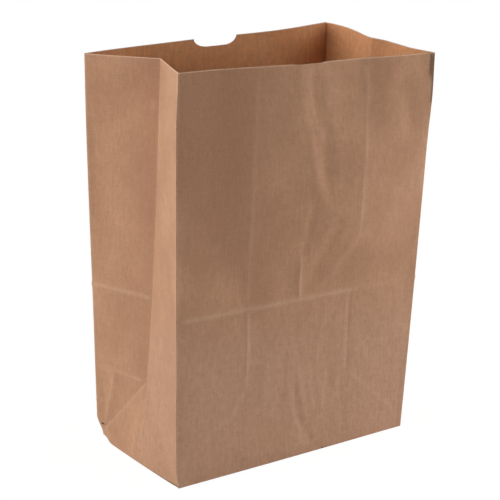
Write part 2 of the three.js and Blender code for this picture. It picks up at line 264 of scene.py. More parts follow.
def draw(lines, along, height):
    """Relief and wear of lines on a panel: sharp ridges or soft swells that fade at both ends."""
    relief = np.zeros(along.shape)
    wear = np.zeros(along.shape)
    for points, out, width, sharp, worn in lines:
        away, share = nearest_on(points, along, height)
        profile = clamp01(1 - away / width) if sharp else np.exp(-((away / width) ** 2))
        ends = fade(*LINE_START, share) * (1 - fade(*LINE_END, share))
        relief += out * profile * ends
        wear = np.maximum(wear, worn * profile * ends)
    return relief, wear


# Lines on the front panel: points (along, height), how far out, half-width, whether sharp, and
# how worn. The bottom's outline was printed through while the bag lay flat.
LEFT_PRINT = [(90.4, 439), (89.4, 394.6), (86.3, 338), (87.7, 284.5), (86.5, 243.6), (84.7, 203),
              (85.3, 181)]
RIGHT_PRINT = [(220.6, 439), (221.8, 404.2), (219.9, 350.7), (219, 306.9), (217.4, 268.5),
               (217.4, 239.5), (217.7, 195.3), (215.8, 183.5)]
CENTRE_CREASE = [(149.9, 182), (148.3, 198.1), (148.4, 220.6), (148, 231.9), (150, 254.5),
                 (152.2, 267.7)]
# Where the mesh columns that follow these lines stand below half the base's depth
LEFT_PRINT_FOOT, RIGHT_PRINT_FOOT, CENTRE = 85.0, 217.0, 150.0
# The shares of a line's length over which it comes up at its start and fades at its end
LINE_START, LINE_END = (-0.03, 0.12), (0.88, 1.03)

FRONT_LINES = [
    (LEFT_PRINT, 0.30, 2.4, False, 0.20),
    ([(85.3, 181), (86, 153), (86.1, 126), (85, 92)], 0.45, 2.0, False, 0.40),
    ([(85, 92), (75, 80), (69, 67.5), (47, 55.6), (31.7, 42.3)], 0.35, 2.6, False, 0.25),
    (RIGHT_PRINT[:6], 0.30, 2.2, False, 0.35),
    ([(215.8, 181), (215.9, 146), (217.1, 108), (217, 87)], -0.45, 2.2, False, 0.10),
    ([(217, 87), (231, 75), (254, 55.5), (277.5, 35), (300.4, 11.3)], 0.25, 2.6, False, 0.25),
    (CENTRE_CREASE[:4], 0.40, 2.2, True, 0.35),
    (CENTRE_CREASE[:4], 0.70, 5.5, False, 0),
    ([(150, 226), (152, 245), (156, 268), (161, 292)], -0.8, 6, True, 0),
    # Bulge and dents under the mouth
    ([(139.9, 436), (141.2, 424), (142.9, 411), (145.3, 398.1), (152, 381.3)], 0.3, 8, False, 0),
    ([(151, 437), (155, 410.1), (157, 388.3), (166, 368.8), (169, 350.3), (171, 328.6),
      (176, 300)], -1.7, 14, True, 0),
    ([(151, 352.4), (156.1, 330.1), (162.7, 313.4), (169.2, 293.5), (175.1, 283.3)],
     0.8, 6, False, 0),
    ([(118.5, 368.7), (125.9, 364.3), (134.6, 359.4), (143.5, 355.6)], 0.6, 4, False, 0),
    ([(161.6, 371.6), (164.1, 362.8), (166, 356)], 0.9, 4, False, 0),
    # Dents above the pressed line
    ([(191.4, 271.7), (188.1, 254.9), (181.2, 239), (174.3, 225.1), (167.6, 209), (162.1, 201.2)],
     -0.9, 7, False, 0),
    ([(215.1, 242.8), (202.2, 226.6), (186.9, 205.5), (172.4, 192.2)], 0.6, 5, False, 0),
    ([(13, 265), (31, 252), (51, 235), (71.9, 219)], 0.5, 12, False, 0),
    ([(263, 423), (269.5, 400), (276.7, 372.1), (281.6, 349.2)], -1.6, 12, False, 0),
    # Small folds in the lower middle
    ([(111.7, 131.7), (109.4, 107), (108.4, 87), (110.7, 66.7)], 0.36, 4, False, 0.1),
    ([(118, 133), (130, 153.5), (139, 157)], 0.42, 4, False, 0),
    ([(151.7, 101), (158, 76.5), (163, 46)], 0.42, 3.5, False, 0.1),
    ([(163, 104), (168, 74), (174.6, 49)], 0.3, 3.2, False, 0.1),
    ([(176.8, 96), (181.7, 71), (188, 46)], 0.39, 3.5, False, 0.1),
    ([(206, 86.6), (204, 66), (195, 44.6)], 0.3, 3.5, False, 0.1),
    ([(153.7, 157.5), (153.3, 135), (160.7, 116)], 0.27, 4, False, 0),
    ([(184.4, 160), (179, 141), (175.6, 116), (175, 96)], 0.27, 4, False, 0),
    ([(200.7, 163), (198.5, 146), (198, 126)], 0.24, 4, False, 0),
    ([(134, 127), (133.7, 102), (133, 82), (127.5, 54)], -0.36, 5, False, 0),
    ([(149, 84), (150, 64), (158, 38), (173, 14), (182, 4.4)], -0.54, 4, False, 0),
    ([(193.4, 98), (193.7, 69), (191, 54)], -0.27, 4, False, 0),
    ([(225, 110), (231.5, 110)], 0.7, 2.6, False, 0.3),
    ([(79, 13.5), (112, 14), (145.6, 8.8)], 0.5, 6, False, 0),
]
BACK_LINES = [
    ([(88, 439), (88, 181)], 0.35, 2.4, False, 0.4),
    ([(216, 439), (216, 181)], 0.35, 2.4, False, 0.5),
    ([(88, 181), (88, 88), (40, 46)], 0.45, 4.0, False, 0.4),
    ([(216, 181), (216, 88), (272, 40)], 0.45, 4.0, False, 0.4),
    ([(60, 330), (110, 250), (130, 205)], 1.0, 14, False, 0),
    ([(250, 150), (200, 90), (190, 40)], 0.9, 12, False, 0),
    ([(150, 120), (120, 60)], -0.8, 8, False, 0),
]
LEFT_LINES = [
    ([(64.6, 316), (3.9, 277)], 0.8, 6, False, 0),
    ([(88.8, 88), (87, 59), (88.5, 23), (93.7, 8.6)], 1.7, 9, True, 0),
    ([(95, 394), (94, 384)], 0.8, 2.8, False, 0.5),
    ([(92, 88), (128, 87.5), (172, 86)], 0.5, 2.2, True, 0.6),
    ([(140, 87), (147, 59), (157.6, 30)], 1.6, 4.5, False, 0.1),
    ([(168, 70), (163, 40), (166, 22)], -1.2, 5.0, False, 0),
    ([(169, 8), (148, 4), (120, 3)], 0.7, 3.5, False, 0.2),
]
RIGHT_LINES = [
    ([(92, 88), (172, 88)], 0.4, 2.4, False, 0.5),
    ([(50, 330), (20, 250)], 0.9, 8, False, 0),
    ([(88, 84), (90, 20)], 0.7, 6, False, 0),
]

# Broad unevenness of handled paper: size of its swells, how far they stand out, and which part of
# the noise they come from. They are longer up the paper than across it.
UNEVEN = [(95.0, 1.3, 11.0), (38.0, 0.55, 23.0), (15.0, 0.16, 37.0)]
UNEVEN_STRETCH = 1.5


def unevenness(along, height, seed):
    """Smooth fixed noise, the same on every run."""
    total = np.zeros(along.shape)
    for size, out, shift in UNEVEN:
        flat = [
            noise.noise(Vector((a / size, h / (UNEVEN_STRETCH * size), shift + seed)))
            for a, h in zip(along.ravel(), height.ravel())
        ]
        total += out * np.array(flat).reshape(along.shape)
    return total


def with_relief(lines, along, width, height, seed, press_share):
    """A panel's relief, which stays off its folds and its foot, and its wear."""
    relief, wear = draw(lines, along, height)
    calm = 1 - MOUTH_CALM * fade(MOUTH_CALM_FROM, STANDING_HEIGHT, height)
    relief = relief + unevenness(along, height, seed) * calm
    edge = np.minimum(along, width - along)
    relief = relief * fade(0, FOLD_CALM, edge) * fade(0, FOOT_CALM, height)
    folds = clamp01(1 - edge / FOLD_REACH)
    cut = fade(CUT_FROM, CUT_FULL, height)
    line = pressed(height) * press_share
    wear = np.maximum.reduce([wear, FOLD_WEAR * folds, PRESS_WEAR * line, CUT_WEAR * cut])
    return relief + PRESS_OUT * line, wear


def foot_bow(along, width, height):
    return np.sin(math.pi * along / width) * (1 - fade(0, FOOT_BOW_HEIGHT, height))


def to_right_fold(along, start):
    """1 up to a place along the front panel, then down to 0 at the right fold."""
    def bent(length):
        return np.hypot(1, length / SOFT_BEND) - 1
    return 1 - bent(np.maximum(along - start, 0)) / bent(FACE_WIDTH - start)


def lip_width(height):
    return LIP_WIDTH * clamp01((height - STANDING_HEIGHT + LIP_REACH) / LIP_REACH)


def front_swell(along, height):
    """The broad bulges of the front panel, and its lip beside the right fold."""
    out = FRONT_FOOT_BOW * foot_bow(along, FACE_WIDTH, height)
    for far, at, left, level, tall in FRONT_SWELLS:
        before = bell(np.minimum(along, at), at, left) * fade(0, SWELL_EDGE, along)
        out = out + far * before * to_right_fold(along, at) * bell(height, level, tall)
    lip = lip_width(height)
    before = np.minimum(FACE_WIDTH - lip - along, 0)
    after = np.maximum(FACE_WIDTH - lip - along, 0)
    return out - LIP_SLOPE * (lip + before) * np.exp(-((after / LIP_SOFT) ** 2))


def front_panel(along, height):
    base = run("front_left", "front_right", along / FACE_WIDTH, height)
    press_share = fade(*FRONT_PRESS_STARTS, along)
    press_share = press_share * (1 - FRONT_PRESS_LOSS * fade(*FRONT_PRESS_FADES, along))
    relief, wear = with_relief(FRONT_LINES, along, FACE_WIDTH, height, 0.0, press_share)
    band_start, band_end = (FACE_WIDTH - off for off in RIGHT_FOLD_BAND)
    less = RIGHT_FOLD_LESS * fade(band_start, band_end, along) * (height < CUT_BAND)
    lip = lip_width(height)
    lip_wear = LIP_WEAR * bell(along, FACE_WIDTH - lip - LIP_WEAR_IN, LIP_WEAR_REACH)
    wear = np.maximum(wear * (1 - less), lip_wear * (lip > LEAST_LIP))
    out = waves(FRONT_WAVES, along, height) + front_swell(along, height) + relief
    return place(base, out, height), wear


def back_panel(along, height):
    """Measured from the back left fold."""
    base = run("back_right", "back_left", 1 - along / FACE_WIDTH, height)
    relief, wear = with_relief(BACK_LINES, along, FACE_WIDTH, height, 5.0, 1.0)
    return place(base, waves(BACK_WAVES, along, height) + relief, height), wear


def off_folds(from_front):
    """Distance along a gusset to its nearer vertical fold."""
    return np.minimum(from_front, GUSSET_DEPTH - from_front)


def off_crease(from_front):
    """0 on a gusset's centre crease, and 1 away from it."""
    return fade(0, FOLD_CALM, np.abs(from_front - HALF_DEPTH))


def gusset_inset(start, end, inset, hollow, from_front, height):
    """How far the paper lies inside the plane through its two vertical folds."""
    mouth_length = run(start, end, 0.0, STANDING_HEIGHT)[4]
    at_mouth = math.sqrt(max(HALF_DEPTH**2 - mouth_length**2 / 4, LEAST_MOUTH_INSET**2))
    up = clamp01((height - HALF_DEPTH) / (STANDING_HEIGHT - HALF_DEPTH))
    at_crease = inset + (at_mouth - inset) * up + hollow * 4 * up * (1 - up)
    return at_crease * np.minimum(off_folds(from_front), height) / HALF_DEPTH


def gusset_wear(from_front, height):
    """Wear on the centre crease and on the 45 degree creases that run to the base corners."""
    to_crease = np.abs(from_front - HALF_DEPTH)
    upright = clamp01(1 - to_crease / FOLD_REACH) * (height > HALF_DEPTH)
    to_slant = np.abs(off_folds(from_front) - height)
    slanted = clamp01(1 - to_slant / SLANT_REACH) * (height < HALF_DEPTH)
    rear = fade(HALF_DEPTH - REAR_SOFT, HALF_DEPTH + REAR_SOFT, from_front)
    return np.maximum(CREASE_WEAR * upright, (SLANT_WEAR + REAR_SLANT_WEAR * rear) * slanted)


def left_gusset(from_front, height):
    base = run("back_left", "front_left", 1 - from_front / GUSSET_DEPTH, height)
    inset = gusset_inset("back_left", "front_left", LEFT_INSET, LEFT_HOLLOW, from_front, height)
    press_share = LEFT_PRESS_WEAK + (1 - LEFT_PRESS_WEAK) * fade(*LEFT_PRESS_GROWS, from_front)
    relief, wear = with_relief(LEFT_LINES, from_front, GUSSET_DEPTH, height, 9.0, press_share)
    wear = np.maximum(wear, gusset_wear(from_front, height))
    out = relief * off_crease(from_front) - inset
    out = out + LEFT_FOOT_BOW * foot_bow(from_front, GUSSET_DEPTH, height)
    under = clamp01(1 - height / FOOT_CURL)
    ends = fade(0, FOOT_CURL_ENDS[0], from_front)
    ends = ends * fade(0, FOOT_CURL_ENDS[1], GUSSET_DEPTH - from_front)
    out = out - FOOT_CURL * (1 - np.sqrt(1 - under**2)) * ends
    return place(base, out, height), wear


def right_gusset(from_front, height):
    base = run("front_right", "back_right", from_front / GUSSET_DEPTH, height)
    inset = gusset_inset("front_right", "back_right", RIGHT_INSET, RIGHT_HOLLOW, from_front, height)
    rear = clamp01(from_front / HALF_DEPTH - 1) ** REAR_SKEW
    swell = REAR_SWELL * np.sin(math.pi * rear) * near_mouth(height, RIGHT_WAVES[0])
    out = swell + waves(RIGHT_WAVES, from_front, height)
    relief, wear = with_relief(RIGHT_LINES, from_front, GUSSET_DEPTH, height, 14.0, 1.0)
    out = out * clamp01(off_folds(from_front) / GUSSET_EDGE) - inset
    out = out + relief * off_crease(from_front)
    return place(base, out, height), np.maximum(wear, gusset_wear(from_front, height))


# Corners of the base that have been knocked in: side, end, push and reach
CRUSHED = [
    (-1, 1, (4.8, -4.4, 2.0), (40.0, 36.0, 26.0)),
    (-1, -1, (0.9, 0.2, 0.0), (16.0, 16.0, 16.0)),
]


def crush(points):
    moved = points.copy()
    for side, end, push, reach in CRUSHED:
        corner = np.array([side * HALF_WIDTH, end * HALF_DEPTH, 0.0])
        away = np.linalg.norm((points - corner) / np.array(reach), axis=-1)
        moved = moved + (1 - fade(0, 1, away))[..., None] * np.array(push)
    return moved


# The sheet's mesh

def row_heights():
    cell = HALF_DEPTH / GUSSET_CELLS
    low = FOOT_ROWS + [cell * i for i in range(1, GUSSET_CELLS)]
    count = int((PRESS_LINE - HALF_DEPTH) / WALL_ROW)
    middle = list(np.linspace(HALF_DEPTH, PRESS_LINE - 2 * PRESS_HALF_WIDTH, count)[:-1])
    ridge = [PRESS_LINE + PRESS_HALF_WIDTH * share for share in RIDGE_ROWS]
    count = int((STANDING_HEIGHT - PRESS_LINE) / WALL_ROW)
    high = list(np.linspace(PRESS_LINE + 2 * PRESS_HALF_WIDTH, STANDING_HEIGHT - TOP_ROW, count))
    return np.array(low + middle + ridge + high + [CUT_FROM, CUT_FULL, STANDING_HEIGHT])


def along_at(line, foot, height):
    """Where a line drawn up a panel stands at a height, and at its foot below the line."""
    points = sorted(line, key=lambda point: point[1])
    heights = [point[1] for point in points]
    places = [point[0] for point in points]
    return np.interp(height, [0, HALF_DEPTH] + heights, [foot, foot] + places)


def front_columns(rows):
    """Columns of the front panel, which follow the printed lines up the panel."""
    stops = [
        0 * rows,
        along_at(LEFT_PRINT, LEFT_PRINT_FOOT, rows),
        along_at(CENTRE_CREASE, CENTRE, rows),
        along_at(RIGHT_PRINT, RIGHT_PRINT_FOOT, rows),
        0 * rows + FACE_WIDTH,
    ]
    columns = []
    last = len(stops) - 2
    for index, (a, b) in enumerate(zip(stops[:-1], stops[1:])):
        after = [FINE] if index == 0 else list(BESIDE_LINE)
        before = [FINE] if index == last else list(BESIDE_LINE)
        columns.append(a)
        columns += [a + offset for offset in after]
        count = FRONT_CELLS[index]
        start, end = a + after[-1], b - before[-1]
        columns += [start + (end - start) * i / count for i in range(1, count)]
        columns += [b - offset for offset in reversed(before)]
    return np.stack(columns, axis=1)


def gusset_columns():
    cell = HALF_DEPTH / GUSSET_CELLS
    half = [0, FINE] + [cell * i for i in range(1, GUSSET_CELLS)] + [HALF_DEPTH - FINE]
    return np.array(half + [HALF_DEPTH] + [GUSSET_DEPTH - v for v in reversed(half)])


def notch_columns():
    turns = [math.pi / 2 * i / ROUND_CELLS for i in range(ROUND_CELLS + 1)]
    rising = [NOTCH_LEFT + NOTCH_LEFT_ROUND * (1 - math.cos(turn)) for turn in turns]
    falling = [NOTCH_RIGHT - NOTCH_RIGHT_ROUND * (1 - math.cos(turn)) for turn in reversed(turns)]
    flat = np.linspace(rising[-1], falling[0], FLAT_CELLS + 1)[1:-1]
    return rising + list(flat) + falling


def back_columns():
    close = [edge + shift for edge in (LAP_FROM, LAP_TO) for shift in (-FINE, 0, FINE)]
    places = [0, FINE] + close + notch_columns()
    for start, end in ((FINE, NOTCH_LEFT), (NOTCH_RIGHT, FACE_WIDTH - FINE)):
        count = int(math.ceil((end - start) / BACK_COLUMN))
        places += list(np.linspace(start, end, count + 1)[1:-1])
    out = []
    for value in sorted(places + [FACE_WIDTH - FINE, FACE_WIDTH]):
        if not out or value - out[-1] > FINE / 3 or value in close:
            out.append(value)
    return np.array(out)


def notch_drop(along):
    """How far the cut edge lies below the straight one, along the thumb notch."""
    across = along - NOTCH_AT
    left = (across + NOTCH_HALF_WIDTH - NOTCH_LEFT_ROUND) / NOTCH_LEFT_ROUND
    right = (across - NOTCH_HALF_WIDTH + NOTCH_RIGHT_ROUND) / NOTCH_RIGHT_ROUND
    share = np.maximum(0, np.maximum(-left, right))
    return NOTCH_DEPTH * np.sqrt(1 - clamp01(share) ** 2)


def front_drop(along):
    """The low stretch of the front panel's cut edge, and the nick in it."""
    low = fade(LOW_EDGE_FROM - LOW_EDGE_STEP, LOW_EDGE_FROM + LOW_EDGE_STEP, along)
    low = low - fade(LOW_EDGE_TO - LOW_EDGE_STEP, LOW_EDGE_TO + LOW_EDGE_STEP, along)
    return LOW_EDGE_DROP * low + NICK_DROP * bell(along, NICK_AT, NICK_SPREAD)


def sunk(height, drop, band):
    """Heights near the cut edge, pressed down to where the edge is lower."""
    start = STANDING_HEIGHT - band
    return np.where(height > start, start + (height - start) * (1 - drop / band), height)


def mitres(ring):
    """Outward plan steps, one unit square to both faces that meet at each column."""
    def normal(a, b):
        d = b - a
        d = d / np.maximum(np.linalg.norm(d, axis=-1, keepdims=True), 1e-9)
        return np.stack([d[..., 1], -d[..., 0]], axis=-1)

    plan = ring[..., :2]
    n1 = normal(np.roll(plan, 1, axis=1), plan)
    n2 = normal(plan, np.roll(plan, -1, axis=1))
    scale = 1 / (1 + (n1 * n2).sum(axis=-1, keepdims=True))
    step = (n1 + n2) * scale
    return np.concatenate([step, np.zeros(step.shape[:-1] + (1,))], axis=-1)


# Painted light and shade on the paper outside: 1 is paler, -1 darker and -2 a dark painted shadow.
# Low down it is paler, painted light bounced up from the floor, which fades between two heights,
# and less so on the gussets and the back.
PALE_FADE, LEFT_PALE, UNSEEN_PALE = (110.0, 200.0), 0.6, 0.5
PAINTED_DARK_SHADE = 2.6

# The front panel has painted shade above a slanted line on its left: height of the line at the
# fold, how steeply it comes down, how soft it is, and where along the panel the shade ends
SHADE_FOOT, SHADE_SLOPE, SHADE_SOFT, SHADE_ENDS = 306.0, 1.27, 25.0, (62.0, 120.0)
# The lip has painted shade from just beside its inner edge
LIP_SHADE_STARTS = (-0.6, 0.2)

# The left gusset has painted light low on its front half only, and painted shade in the hollow
# behind its centre crease
FRONT_HALF_ENDS = (80.0, 100.0)
HOLLOW_SHADE, HOLLOW_SHADE_SPREAD, HOLLOW_SHADE_STARTS = 0.8, 17.0, (60.0, 120.0)
# The painted shadow line at its foot: its height at the front, where it ends, and how soft its edge
# is
FOOT_SHADOW, FOOT_SHADOW_TO, FOOT_SHADOW_SOFT = 2.4, 120.0, 0.5


# Painted light: the walls are paler low down, where the floor bounces light up onto them
def painted_light_low(height):
    return 1 - fade(*PALE_FADE, height)


def front_painted_shading(along, height):
    """Painted light and shade: paler low down, and painted shade towards the upper left and on the
    lip.
    """
    lip = lip_width(height)
    in_lip = fade(*LIP_SHADE_STARTS, along - FACE_WIDTH + lip) * (lip > LEAST_LIP)
    above = height - SHADE_FOOT + SHADE_SLOPE * along
    dark = fade(-SHADE_SOFT, SHADE_SOFT, above) * (1 - fade(*SHADE_ENDS, along))
    return painted_light_low(height) - dark - PAINTED_DARK_SHADE * in_lip


def left_painted_shading(from_front, height):
    """Painted light low on its front half, painted shade behind its centre crease and a painted
    shadow where it turns under.
    """
    front_half = 1 - fade(*FRONT_HALF_ENDS, from_front)
    line_top = FOOT_SHADOW * (1 - from_front / FOOT_SHADOW_TO)
    foot = 1 - fade(0, FOOT_SHADOW_SOFT, height - line_top)
    behind = bell(from_front, HALF_DEPTH, HOLLOW_SHADE_SPREAD) * (from_front > HALF_DEPTH)
    hollow = behind * fade(*HOLLOW_SHADE_STARTS, height)
    return LEFT_PALE * painted_light_low(height) * front_half - HOLLOW_SHADE * hollow - PAINTED_DARK_SHADE * foot


def unseen_painted_shading(along, height):
    """Painted light on the right gusset and the back: paler low down, where the floor bounces
    light. The tone of the walls that the photograph doesn't show.
    """
    return UNSEEN_PALE * painted_light_low(height)


def wall_ring():
    """Outer wall points by row and column, once round from the front left fold, with their
    wear and painted light and shade, and where the glued lap adds a sheet."""
    rows = row_heights()
    gusset = gusset_columns()
    walls = [
        (front_panel, front_columns(rows), (front_drop, FRONT_EDGE_BAND), front_painted_shading),
        (right_gusset, gusset[:-1], None, unseen_painted_shading),
        (back_panel, back_columns()[::-1][:-1], (notch_drop, NOTCH_BAND), unseen_painted_shading),
        (left_gusset, gusset[::-1][:-1], None, left_painted_shading),
    ]
    parts = []
    for panel, columns, low_edge, painted_shading in walls:
        height = np.repeat(rows[:, None], columns.shape[-1], axis=1)
        along = np.broadcast_to(columns, height.shape)
        cut_height = height
        if low_edge:
            drop, band = low_edge
            cut_height = sunk(height, drop(along), band)
        points, wear = panel(along, cut_height)
        in_lap = (along > LAP_FROM - FINE / 2) & (along < LAP_TO + FINE / 2)
        lap = in_lap.astype(float) * (panel is back_panel)
        parts.append((points, wear, painted_shading(along, height), lap))
    return [np.concatenate(part, axis=1) for part in zip(*parts)]


# The bottom's two skins lie above the two flaps. Delaunay filling keeps the triangles inside the
# ring only, and takes points this near to each other as one.
UNDER_SKIN, UPPER_SKIN = 2 * PAPER, 3 * PAPER
INSIDE_ONLY, SAME_POINT = 1, 1e-5


def base_fill(ring, start):
    """Triangles that fill the flat ring of a wall's foot, with points inside it."""
    plan = [Vector(p[:2]) for p in ring]
    count = len(plan)
    inner = []
    for x in np.arange(-HALF_WIDTH + BASE_GRID, HALF_WIDTH - BASE_GRID / 2, BASE_GRID):
        for y in np.arange(-HALF_DEPTH + BASE_GRID, HALF_DEPTH - BASE_GRID / 2, BASE_GRID):
            inner.append(Vector((float(x), float(y))))
    edges = [(i, (i + 1) % count) for i in range(count)]
    verts, _, faces, origin, *_ = delaunay_2d_cdt(
        plan + inner, edges, [list(range(count))], INSIDE_ONLY, SAME_POINT
    )
    to_ring = {}
    extra = []
    for index, sources in enumerate(origin):
        on_ring = [s for s in sources if s < count]
        if on_ring:
            to_ring[index] = start + on_ring[0]
        else:
            extra.append((index, verts[index]))
    return to_ring, extra, faces


def make_object(name, points, faces, smooth=True):
    mesh = bpy.data.meshes.new(name)
    mesh.from_pydata([tuple(p) for p in np.asarray(points) * MM], [], faces)
    mesh.validate()
    if smooth:
        mesh.shade_smooth()
    obj = bpy.data.objects.new(name, mesh)
    bpy.context.scene.collection.objects.link(obj)
    return obj


def add_attribute(obj, name, values):
    layer = obj.data.attributes.new(name, "FLOAT", "POINT")
    layer.data.foreach_set("value", np.asarray(values, np.float32))


def bag_sheet():
    outer, wear, painted_shading, lap = wall_ring()
    row_count, column_count = outer.shape[:2]
    step = mitres(outer)
    inner = outer - step * PAPER
    outer = outer + step * (lap * PAPER)[..., None]
    outer[0, :, 2] = UNDER_SKIN
    inner[0, :, 2] = UPPER_SKIN
    outer = crush(outer)
    inner = crush(inner)
    layer = row_count * column_count
    faces = []
    for row in range(row_count - 1):
        for column in range(column_count):
            a = row * column_count + column
            b = row * column_count + (column + 1) % column_count
            faces.append((a, b, b + column_count, a + column_count))
            faces.append((layer + b, layer + a, layer + a + column_count, layer + b + column_count))
    top = (row_count - 1) * column_count
    for column in range(column_count):
        a, b = top + column, top + (column + 1) % column_count
        faces.append((a, b, layer + b, layer + a))
    points = list(outer.reshape(-1, 3)) + list(inner.reshape(-1, 3))
    inside = [0.0] * layer + [1.0] * layer
    worn = list(wear.ravel()) + list(wear.ravel())
    # The walls' painted light and shade, carried to the material as an attribute
    shade = list(painted_shading.ravel()) + list(painted_shading.ravel())
    for start, ring, level, down in (
        (0, outer[0], UNDER_SKIN, True),
        (layer, inner[0], UPPER_SKIN, False),
    ):
        to_ring, extra, fills = base_fill(ring, start)
        for index, at in extra:
            to_ring[index] = len(points)
            points.append(crush(np.array([[at[0], at[1], level]]))[0])
            inside.append(0.0 if down else 1.0)
            worn.append(0.0)
            shade.append(0.0)
        for fill in fills:
            corners = [to_ring[i] for i in fill]
            faces.append(tuple(reversed(corners)) if down else tuple(corners))
    bag = make_object("bag_sheet", points, faces)
    add_attribute(bag, "inside", inside)
    add_attribute(bag, "wear", worn)
    add_attribute(bag, "painted_shading", shade)
    mark_edges(bag, top, column_count, layer)
    return bag


def mark_edges(bag, top, column_count, layer):
    """Keeps the cut edge and the fold round the base crisp."""
    rings = [set(range(start, start + column_count)) for start in (top, layer + top, 0, layer)]
    for edge in bag.data.edges:
        a, b = edge.vertices
        if any(a in ring and b in ring for ring in rings):
            edge.use_edge_sharp = True


# The bottom's flaps: half their width at the centre, how far they lap past it, and how far they
# stay in from the corners of the base
FLAP_HALF, FLAP_LAP, FLAP_INSET = HALF_WIDTH - HALF_DEPTH, HALF_DEPTH / 4, 0.5


def flap(name, side, low, high):
    """A glued flap of the bottom: a sheet that narrows at 45 degrees and laps past the centre."""
    end = "front" if side < 0 else "back"
    left_x, left_y, _ = fold_at(end + "_left", 0.0)
    right_x, right_y, _ = fold_at(end + "_right", 0.0)
    outline = [
        (left_x + FLAP_INSET, left_y - side * FLAP_INSET),
        (-FLAP_HALF, 0.0),
        (-FLAP_HALF, -side * FLAP_LAP),
        (FLAP_HALF, -side * FLAP_LAP),
        (FLAP_HALF, 0.0),
        (right_x - FLAP_INSET, right_y - side * FLAP_INSET),
    ]
    if side > 0:
        outline.reverse()
    count = len(outline)
    points = crush(np.array([(x, y, z) for z in (low, high) for x, y in outline]))
    faces = [tuple(range(count))[::-1], tuple(range(count, 2 * count))]
    for i in range(count):
        after = (i + 1) % count
        faces.append((i, after, count + after, count + i))
    return make_object(name, points, faces, smooth=False)


# Materials

def srgb(red, green, blue):
    def linear(value):
        value /= 255
        return value / 12.92 if value <= 0.04045 else ((value + 0.055) / 1.055) ** 2.4
    return (linear(red), linear(green), linear(blue), 1.0)


class Graph:
    """The node tree of a material or world, built by calls that take sockets or plain values."""

    def __init__(self, owner):
        owner.use_nodes = True
        self.tree = owner.node_tree
        self.tree.nodes.clear()

    def node(self, kind, inputs=None, **settings):
        made = self.tree.nodes.new(kind)
        for key, value in settings.items():
            setattr(made, key, value)
        for key, value in (inputs or {}).items():
            self.feed(made.inputs[key], value)
        return made

    def feed(self, socket, value):
        if isinstance(value, bpy.types.NodeSocket):
            self.tree.links.new(value, socket)
        else:
            socket.default_value = value

    def math(self, operation, *values):
        return self.node("ShaderNodeMath", dict(enumerate(values)), operation=operation).outputs[0]

    def noise(self, vector, scale, detail=2.0, roughness=0.5):
        return self.node("ShaderNodeTexNoise", {
            "Vector": vector, "Scale": scale, "Detail": detail, "Roughness": roughness,
        }).outputs["Fac"]

    def stretched(self, vector, scale):
        return self.node("ShaderNodeMapping", {"Vector": vector, "Scale": scale}).outputs[0]

    def attribute(self, name):
        return self.node("ShaderNodeAttribute", attribute_name=name).outputs["Fac"]

    def mix(self, share, a, b):
        made = self.node("ShaderNodeMix", data_type="RGBA")
        for name, value in (("Factor", share), ("A", a), ("B", b)):
            self.feed([s for s in made.inputs if s.name == name and s.enabled][0], value)
        return [s for s in made.outputs if s.enabled][0]

    def ramp(self, value, low, high, top=1.0):
        return self.node("ShaderNodeMapRange", {
            "Value": value, "From Min": low, "From Max": high, "To Min": 0.0, "To Max": top,
        }).outputs[0]


# Small dark marks: the panel, place along it, height, half-sizes in x, y and z, and how dark. The
# first, in the pocket of the knocked-in back left corner, is a painted shadow.
MARKS_AND_SHADOW = [
    (left_gusset, 169.0, 16.4, (6.0, 3.6, 1.2), 1.0),
    (front_panel, 12.5, 46.0, (1.4, 3.0, 0.7), 0.55),
    (front_panel, 190.0, 1.2, (1.3, 3.0, 1.6), 0.9),
]
# Their soft rim, as shares of the half-sizes
MARK_RIM = (1.1, 0.6)


def marked_and_shaded(g, at):
    """The small dark marks and the painted shadow in the crushed corner: above 0 on them and 0
    elsewhere.
    """
    total = 0.0
    for panel, along, height, half_sizes, dark in MARKS_AND_SHADOW:
        centre = crush(panel(np.array([along]), np.array([height]))[0])[0]
        away = g.node("ShaderNodeVectorMath", {0: at, 1: tuple(centre * MM)}, operation="SUBTRACT")
        scaled = g.node("ShaderNodeVectorMath", {
            0: away.outputs[0], 1: tuple(1 / (MM * half) for half in half_sizes),
        }, operation="MULTIPLY")
        length = g.node("ShaderNodeVectorMath", {0: scaled.outputs[0]}, operation="LENGTH")
        total = g.math("ADD", total, g.ramp(length.outputs["Value"], *MARK_RIM, dark))
    return total


# The paper's colours in its darker and paler clouds, outside and inside. The inside colours are
# brighter and more orange: painted light, the glow through the thin paper and its bounces inside
# the bag.
CLOUD_SCALE, CLOUD_DETAIL, CLOUD_RANGE = 18.0, 3.0, (0.35, 0.65)
OUTER_COLOURS = (190, 139, 105), (209, 158, 122)
INNER_GLOW_COLOURS = (227, 153, 92), (248, 174, 114)

# The painted light and shade (paler light, shade and dark shadow): where each starts and is full,
# its share and its colour
PAINTED_SHADING_COLOURS = [
    (0.0, 1.0, 0.85, (206, 160, 131)),
    (0.0, -1.0, 0.95, (178, 127, 97)),
    (-1.0, -2.0, 0.95, (98, 70, 52)),
]

# The patterns that lie over both, one on the other: how a noise is stretched, its scale, detail
# and roughness, where it starts to show and is full, its share and its colour
PATTERNS = {
    "streaks": ((1.0, 1.0, 0.10), 330.0, 3.0, 0.6, 0.35, 0.65, 0.22, (170, 125, 95)),
    "mottle": ((1.0, 1.0, 0.40), 300.0, 4.0, 0.7, 0.44, 0.60, 0.26, (162, 115, 84)),
    "ribs": ((1.0, 1.0, 0.03), 900.0, 1.0, 0.5, 0.45, 0.65, 0.14, (212, 170, 138)),
    "grain": ((1.0, 1.0, 1.0), 1300.0, 2.0, 0.5, 0.35, 0.65, 0.36, (214, 172, 140)),
    "laid": ((0.10, 0.10, 1.0), 720.0, 2.0, 0.5, 0.40, 0.62, 0.10, (158, 114, 84)),
    "flecks": ((1.0, 1.0, 0.45), 800.0, 1.0, 0.5, 0.68, 0.80, 0.40, (138, 97, 70)),
}

